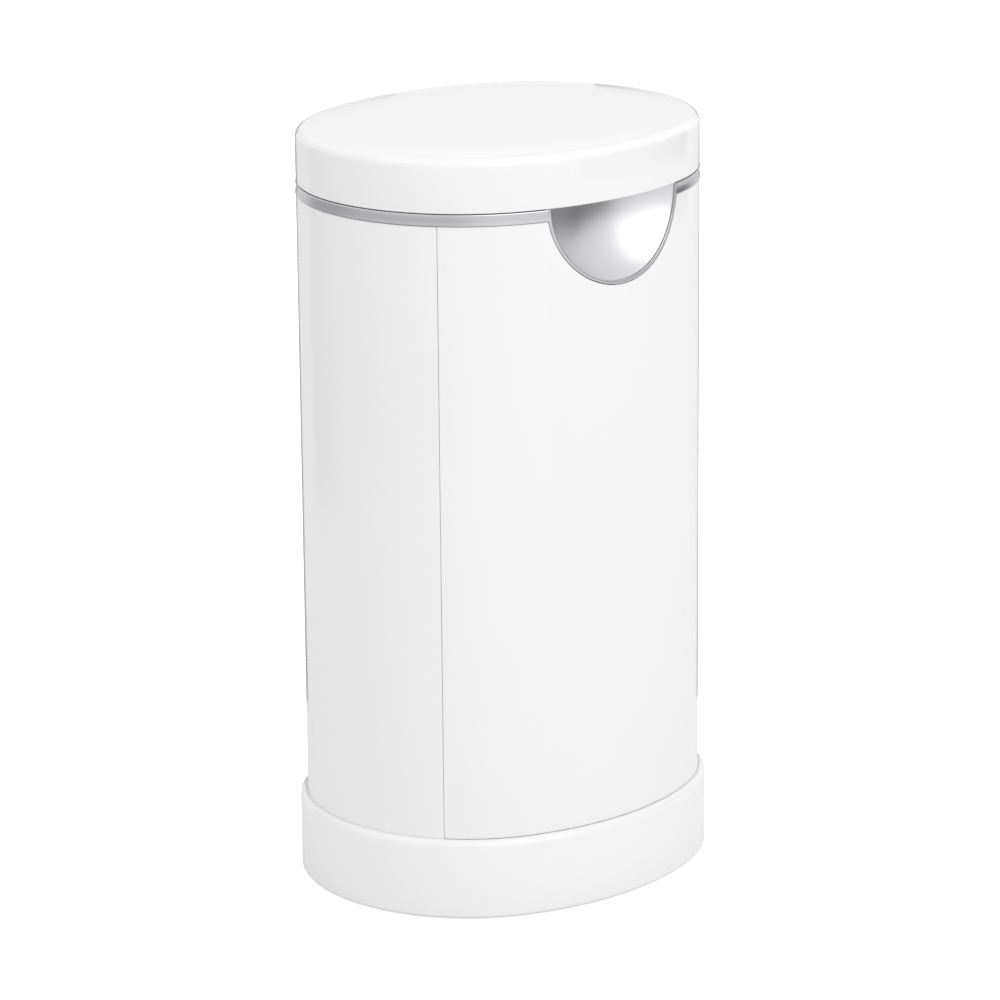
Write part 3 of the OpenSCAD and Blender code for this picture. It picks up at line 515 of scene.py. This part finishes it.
silver_trim = silver_material("silver_trim", (0.64, 0.64, 0.66), gloss=0.28, flake=0.004 * mm)
trim = bmesh.new()
rim_facing = math.asin((scoop_r - rim_width / 2) / side_r)
gap_facing = math.asin(hinge_gap / side_r)
for start, stop in (
    (3 * quarter + rim_facing, 5 * quarter - gap_facing),
    (quarter + gap_facing, 3 * quarter - rim_facing),
):
    band = bmesh.new()
    cove_low, cove_high = ring_bottom + cove_edge, ring_top - lip_height
    cove = []
    for step in range(cove_steps + 1):
        share = step / cove_steps
        inset = ring_foot + cove_deep * (1 - (1 - share / cove_turn) ** 2)
        cove.append((inset, cove_low + (cove_high - cove_low) * share, 0))
    draw_profile(band, [(ring_foot, ring_bottom, band_edge)] + cove + [
        (lip_face, cove_high + lip_step, lip_step),
        (lip_face + lip_lean, ring_top, band_edge),
        (ring_back, ring_top, 0),
        (ring_back, ring_bottom, 0),
    ])
    cap_ends(band, *sweep(band, start, stop))
    close_shell(band)
    move_into(trim, band)

rim = bmesh.new()
rim_over = math.asin((ring_top - scoop_z) / scoop_r)
draw_profile(rim, [
    (scoop_r - rim_width, -rim_proud, rim_inner_edge),
    (scoop_r, -rim_proud, rim_outer_edge),
    (scoop_r, rim_back, 0),
    (scoop_r - rim_width, rim_back, 0),
])
for vert in rim.verts:
    vert.co = Vector((vert.co.x, vert.co.z, 0))
bmesh.ops.rotate(
    rim, verts=rim.verts, cent=(0, 0, 0), matrix=Matrix.Rotation(-rim_over, 3, "Y"),
)
rim_first = rim.edges[:]
rim_last = bmesh.ops.spin(
    rim, geom=rim.verts[:] + rim_first, cent=(0, 0, 0), axis=(0, 1, 0),
    angle=2 * quarter + 2 * rim_over, steps=120,
)["geom_last"]
cap_ends(rim, rim_first, [part for part in rim_last if isinstance(part, bmesh.types.BMEdge)])
close_shell(rim)
for vert in rim.verts:
    vert.co = Vector((vert.co.x, vert.co.y - front_depth(vert.co.x), vert.co.z + scoop_z))
move_into(trim, rim)
add_piece("silver_trim_ring", trim, silver_trim, "body", "silver_trim", "trim_ring")


# ---- Finger scoop ----
# The bowl under the front of the lid: a thin silver-painted moulding, dished so that its edge
# follows the body's curve all round, and seated behind the rim.
scoop_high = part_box("finger_scoop")[1]
bowl_lap = 0.8 * mm
bowl_back = 2.2 * mm
bowl_r = scoop_r - rim_width + bowl_lap
bowl_lip = 0.5 * mm
bowl_depth = half_depth + scoop_high[1] - bowl_back
bowl_wall = 2 * mm
bowl_ball_r = (bowl_r * bowl_r + bowl_depth * bowl_depth) / (2 * bowl_depth)
bowl_rings = 36

silver_scoop = silver_material("silver_scoop", (0.72, 0.72, 0.735), gloss=0.33, flake=0.003 * mm)
bowl = bmesh.new()
bowl_line = []
for ring in range(bowl_rings + 1):
    reach = bowl_r * math.sin(quarter * ring / bowl_rings)
    dish = math.sqrt(bowl_ball_r ** 2 - reach ** 2) - (bowl_ball_r - bowl_depth)
    bowl_line.append(bowl.verts.new((reach, dish, 0)))
for pair in zip(bowl_line, bowl_line[1:]):
    bowl.edges.new(pair)
bmesh.ops.spin(
    bowl, geom=bowl.verts[:] + bowl.edges[:], cent=(0, 0, 0), axis=(0, 1, 0),
    angle=2 * quarter, steps=96,
)
bmesh.ops.remove_doubles(bowl, verts=bowl.verts, dist=weld)
for vert in bowl.verts:
    share = math.hypot(vert.co.x, vert.co.z) / bowl_r
    level = front_depth(0) * (1 - share) + front_depth(vert.co.x) * share
    vert.co = Vector((vert.co.x, vert.co.y + bowl_lip * share - level, vert.co.z + scoop_z))
bmesh.ops.recalc_face_normals(bowl, faces=bowl.faces)
if sum(face.normal.y for face in bowl.faces) > 0:
    bmesh.ops.reverse_faces(bowl, faces=bowl.faces)
bmesh.ops.solidify(bowl, geom=bowl.faces[:], thickness=bowl_wall)
add_piece("scoop_bowl", bowl, silver_scoop, "body", "silver_scoop", "finger_scoop")


# ---- Chute: flap frame, flaps, pins, springs and film cutter ----
# A grey frame under the well carries two sprung white flaps with soft lips. They part when a
# nappy is pushed through and spring shut behind it.
mint_gloss = skin_material(
    "mint_gloss", (0.42, 0.68, 0.60),
    gloss=0.3, grain_size=500, grain_height=0.02 * mm, cloud=0.05,
)
lip_rubber = skin_material(
    "lip_rubber", (0.22, 0.23, 0.25),
    gloss=0.6, grain_size=1600, grain_height=0.04 * mm, cloud=0.1,
)
spring_steel = steel_material("spring_steel", (0.55, 0.55, 0.56), gloss=0.22, streak=(60, 2, 60))
dress(grey_satin, "flap_frame")
dress(white_satin, "flap_left", "flap_right")
dress(lip_rubber, "flap_lip_left", "flap_lip_right")
dress(spring_steel, "flap_spring_left", "flap_spring_right")
dress(mint_gloss, "film_cutter")


# ---- Refill cassette ----
# A pale mint ring with a cap, moulded in the same plastic and packed with pleated blue film. It
# drops into the collar's well and turns there freely, which twists the film.
film_sheet = skin_material(
    "film_sheet", (0.42, 0.58, 0.72),
    gloss=0.3, grain_size=420, grain_height=0.2 * mm, cloud=0.15, cloud_size=120,
)
dress(mint_gloss, "refill_cassette", "cassette_cap")
dress(film_sheet, "film_pack")


# ---- Front door ----
# A curved glossy white panel with a half-round notch that clears the rim of the scoop. It turns
# on two pins at the left seam, where its edge swings inside a socket in the shell's end.
door_low, door_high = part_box("front_door")
door_wall = 2 * hinge_depth
door_reach = 2.4 * mm
door_more = 0.5 * mm
door_edge = 0.5 * mm
door_head_edge = 0.7 * mm
door_sill = door_low[2] - door_more
door_head = door_high[2] + door_more
notch_gap = 0.8 * mm
notch_r = scoop_r + notch_gap
notch_x = 0.4 * mm
door_right = seam_facing + seam_half / end_r

door = bmesh.new()
draw_profile(door, [
    (0, door_sill, door_edge),
    (door_wall, door_sill, door_edge),
    (door_wall, door_head, door_edge),
    (0, door_head, door_head_edge),
])
door_left = 2 * quarter + hinge_facing - door_reach / (end_r - hinge_depth)
for end_face in cap_ends(door, *sweep(door, door_left, 4 * quarter - door_right)):
    round_upright_edges(door, end_face, door_edge)
close_shell(door)
front_door = add_piece("front_door_panel", door, white_gloss, "door", "white_shell", "front_door")

notch_tool = bmesh.new()
bmesh.ops.create_cone(
    notch_tool, cap_ends=True, segments=192,
    radius1=notch_r, radius2=notch_r, depth=half_depth,
    matrix=Matrix.Translation((notch_x, -half_depth, scoop_z))
    @ Matrix.Rotation(quarter, 4, "X"),
)
cut(front_door, notch_tool)


# ---- Lid ----
# A deep glossy white cap with a rounded edge and a long soft crown. Its barrel turns on a steel
# rod between the collar's ears.
lid_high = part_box("lid_shell")[1]
lid_gap = 1.2 * mm
lid_side = 42.4 * mm
lid_bottom = ring_high[2] + lid_gap
lid_rim = lid_bottom + lid_side
lid_round = 7 * mm
lid_wall = 2.6 * mm
lid_foot_edge = 0.9 * mm
lid_inner_edge = 0.5 * mm
crown_start = 9 * mm
crown_end = 60 * mm
crown_steps = 14
barrel_r = 4.4 * mm
barrel_half = 39.6 * mm
bridge_rise = 9 * mm
ear_half = 60.5 * mm
ear_gap = 0.5 * mm
lid_joint = next(joint for joint in frame["joints"] if joint["name"] == "lid_hinge")
lid_hinge_y, lid_hinge_z = lid_joint["pos_m"][1:]

lid = bmesh.new()
crown = []
for step in range(crown_steps + 1):
    share = step / crown_steps
    inset = crown_start + (crown_end - crown_start) * share
    height = lid_rim + (lid_high[2] - lid_rim) * (1 - (1 - share) ** 2)
    crown.append((inset, height, 0))
draw_profile(lid, crown[::-1] + [
    (0, lid_rim, lid_round),
    (0, lid_bottom, lid_foot_edge),
    (lid_wall, lid_bottom, lid_inner_edge),
    (lid_wall, lid_rim - lid_wall, lid_round - lid_wall),
    (crown_end, lid_rim - lid_wall, 0),
], closed=False)
sweep(lid)
close_shell(lid)
fill_loops(lid, lid_high[2])
fill_loops(lid, lid_rim - lid_wall)
close_shell(lid)
lid_shell = add_piece("lid_cap", lid, white_gloss, "lid", "white_shell", "lid_shell")


def rod_along_x(bm, radius, half):
    """Adds a round bar along the lid's hinge."""
    place = Matrix.Translation((0, lid_hinge_y, lid_hinge_z)) @ Matrix.Rotation(quarter, 4, "Y")
    bmesh.ops.create_cone(
        bm, cap_ends=True, segments=64, radius1=radius, radius2=radius, depth=2 * half,
        matrix=place,
    )


ear_tool = bmesh.new()
rod_along_x(ear_tool, barrel_r + ear_gap, ear_half)
cut(lid_shell, ear_tool)
barrel = bmesh.new()
rod_along_x(barrel, barrel_r, barrel_half)
bridge_low = Vector((-barrel_half, half_depth - lid_wall, lid_hinge_z))
bridge_high = Vector((barrel_half, lid_hinge_y, lid_hinge_z + bridge_rise))
bridge_size = bridge_high - bridge_low
bmesh.ops.create_cube(
    barrel, size=1,
    matrix=Matrix.Translation((bridge_low + bridge_high) / 2)
    @ Matrix.Diagonal((*bridge_size, 1)),
)
cut(lid_shell, barrel, "UNION")


# ---- Lid liner, seal and scent puck ----
# Inside the lid a flat satin liner holds the rubber seal between two ribs and the scented block
# in its cup, behind a vented grey cover that twists in.
puck_block = skin_material(
    "puck_block", (0.40, 0.66, 0.57),
    gloss=0.75, grain_size=900, grain_height=0.2 * mm, cloud=0.25, cloud_size=300,
)
dress(white_satin, "lid_liner")
dress(soft_rubber, "lid_seal", "lid_bumpers")
dress(grey_satin, "puck_cover")
dress(puck_block, "scent_puck")


# ---- Studio and camera ----
# A pale floor under a white room, lit by a large soft panel and two small ones, with grey cards
# that only glossy surfaces mirror. None of it is part of the bin.
floor_half = 6.0
floor_glow = 0.55
glossy_share = 0.1
room_light = 0.86
body_middle = Vector((0, 0, 0.31))
floor_bm = bmesh.new()
bmesh.ops.create_grid(floor_bm, x_segments=2, y_segments=2, size=floor_half)
floor_mesh = bpy.data.meshes.new("studio_floor")
floor_bm.to_mesh(floor_mesh)
floor_bm.free()
floor = bpy.data.objects.new("studio_floor", floor_mesh)
bpy.context.scene.collection.objects.link(floor)

floor_paint = bpy.data.materials.new("studio_floor")
floor_paint.use_nodes = True
floor_nodes, floor_links = floor_paint.node_tree.nodes, floor_paint.node_tree.links
floor_shader = floor_nodes["Principled BSDF"]
floor_shader.inputs["Base Color"].default_value = (0.85, 0.85, 0.85, 1)
floor_shader.inputs["Roughness"].default_value = 0.9
floor_shader.inputs["Specular IOR Level"].default_value = 0
floor_shader.inputs["Emission Color"].default_value = (1, 1, 1, 1)
floor_rays = floor_nodes.new("ShaderNodeLightPath")
floor_lift = floor_nodes.new("ShaderNodeMath")
floor_lift.operation = "MULTIPLY"
floor_lift.inputs[1].default_value = floor_glow
floor_seen = floor_nodes.new("ShaderNodeMath")
floor_seen.operation = "MULTIPLY_ADD"
floor_seen.inputs[1].default_value = glossy_share
floor_links.new(floor_rays.outputs["Is Glossy Ray"], floor_seen.inputs[0])
floor_links.new(floor_rays.outputs["Is Camera Ray"], floor_seen.inputs[2])
floor_links.new(floor_seen.outputs[0], floor_lift.inputs[0])
floor_links.new(floor_lift.outputs[0], floor_shader.inputs["Emission Strength"])
floor_mesh.materials.append(floor_paint)

world = bpy.data.worlds.new("white_room")
bpy.context.scene.world = world
world.use_nodes = True
room_nodes, room_links = world.node_tree.nodes, world.node_tree.links
room = room_nodes["Background"]
room.inputs["Color"].default_value = (1, 1, 1, 1)
room_rays = room_nodes.new("ShaderNodeLightPath")
shown = room_rays.outputs["Is Camera Ray"]
for ray in ("Is Transmission Ray", "Is Glossy Ray"):
    either = room_nodes.new("ShaderNodeMath")
    either.operation = "MAXIMUM"
    room_links.new(shown, either.inputs[0])
    room_links.new(room_rays.outputs[ray], either.inputs[1])
    shown = either.outputs[0]
strength = room_nodes.new("ShaderNodeMapRange")
strength.inputs["To Min"].default_value = room_light
strength.inputs["To Max"].default_value = 1.0
room_links.new(shown, strength.inputs["Value"])
room_links.new(strength.outputs["Result"], room.inputs["Strength"])


def soft_panel(name, azimuth, elevation, distance, width, height, power):
    """A soft panel light that looks at the bin; azimuth 0 is its front, 90 its right."""
    light = bpy.data.lights.new(name, "AREA")
    light.shape = "RECTANGLE"
    light.size = width
    light.size_y = height
    light.energy = power
    lamp = bpy.data.objects.new(name, light)
    bpy.context.scene.collection.objects.link(lamp)
    turn, lift = math.radians(azimuth), math.radians(elevation)
    away = Vector((
        math.sin(turn) * math.cos(lift), -math.cos(turn) * math.cos(lift), math.sin(lift),
    ))
    lamp.location = body_middle + away * distance
    lamp.rotation_euler = away.to_track_quat("Z", "Y").to_euler()


soft_panel("key_panel", -6, 43, distance=3.2, width=2.9, height=2.4, power=26)
soft_panel("front_spot", 2, 62, distance=2.6, width=0.5, height=0.3, power=1.2)
soft_panel("left_spot", -104, 56, distance=2.6, width=0.5, height=0.3, power=1.7)


def studio_card(name, turn_from, turn_to, low, high, level, reach=1.2):
    """A curved card round the bin that only its glossy surfaces mirror; turns are azimuths."""
    bm = bmesh.new()
    ends = [bm.verts.new((0, -reach, height)) for height in (low, high)]
    edge = bm.edges.new(ends)
    first_turn = Matrix.Rotation(math.radians(turn_from), 3, "Z")
    bmesh.ops.rotate(bm, verts=ends, cent=(0, 0, 0), matrix=first_turn)
    bmesh.ops.spin(
        bm, geom=[*ends, edge], cent=(0, 0, 0), axis=(0, 0, 1),
        angle=math.radians(turn_to - turn_from), steps=24,
    )
    mesh = bpy.data.meshes.new(name)
    bm.to_mesh(mesh)
    bm.free()
    paint = bpy.data.materials.new(name)
    paint.use_nodes = True
    shader = paint.node_tree.nodes["Principled BSDF"]
    shader.inputs["Base Color"].default_value = (0, 0, 0, 1)
    shader.inputs["Specular IOR Level"].default_value = 0
    shader.inputs["Emission Color"].default_value = (level, level, level, 1)
    shader.inputs["Emission Strength"].default_value = 1
    mesh.materials.append(paint)
    card = bpy.data.objects.new(name, mesh)
    bpy.context.scene.collection.objects.link(card)
    for ray in ("camera", "diffuse", "transmission", "volume_scatter", "shadow"):
        setattr(card, "visible_" + ray, False)


studio_card("left_card", -165, -122, low=0.01, high=0.7, level=0.48)
studio_card("left_front_card", -122, -42, low=0.12, high=0.7, level=0.64)
studio_card("left_edge_flag", 150, 177, low=0.0, high=0.64, level=0.0, reach=0.44)
studio_card("right_edge_flag", 103, 126, low=0.0, high=0.64, level=0.0, reach=0.44)
studio_card("right_flag", 18, 84, low=0.36, high=0.76, level=0.08)
studio_card("back_card", 108, 168, low=0.66, high=1.06, level=0.85)

view_azimuth = math.radians(-42.42)
view_elevation = math.radians(16.19)
view_roll = math.radians(-0.5)
view_distance = 3.8978
aim_z = 0.3023
aim_left = 1.3 * mm
camera_data = bpy.data.cameras.new("camera")
camera_data.sensor_width = 36
camera_data.lens = 171.6
camera = bpy.data.objects.new("camera", camera_data)
bpy.context.scene.collection.objects.link(camera)
back = Vector((
    math.sin(view_azimuth) * math.cos(view_elevation),
    -math.cos(view_azimuth) * math.cos(view_elevation),
    math.sin(view_elevation),
))
across = Vector((math.cos(view_azimuth), math.sin(view_azimuth), 0))
aim = Vector((0, 0, aim_z)) - aim_left * across
camera.location = aim + back * view_distance
camera.rotation_mode = "QUATERNION"
camera.rotation_quaternion = back.to_track_quat("Z", "Y") @ Quaternion((0, 0, 1), view_roll)
bpy.context.scene.camera = camera
bpy.context.scene.view_settings.view_transform = "Standard"
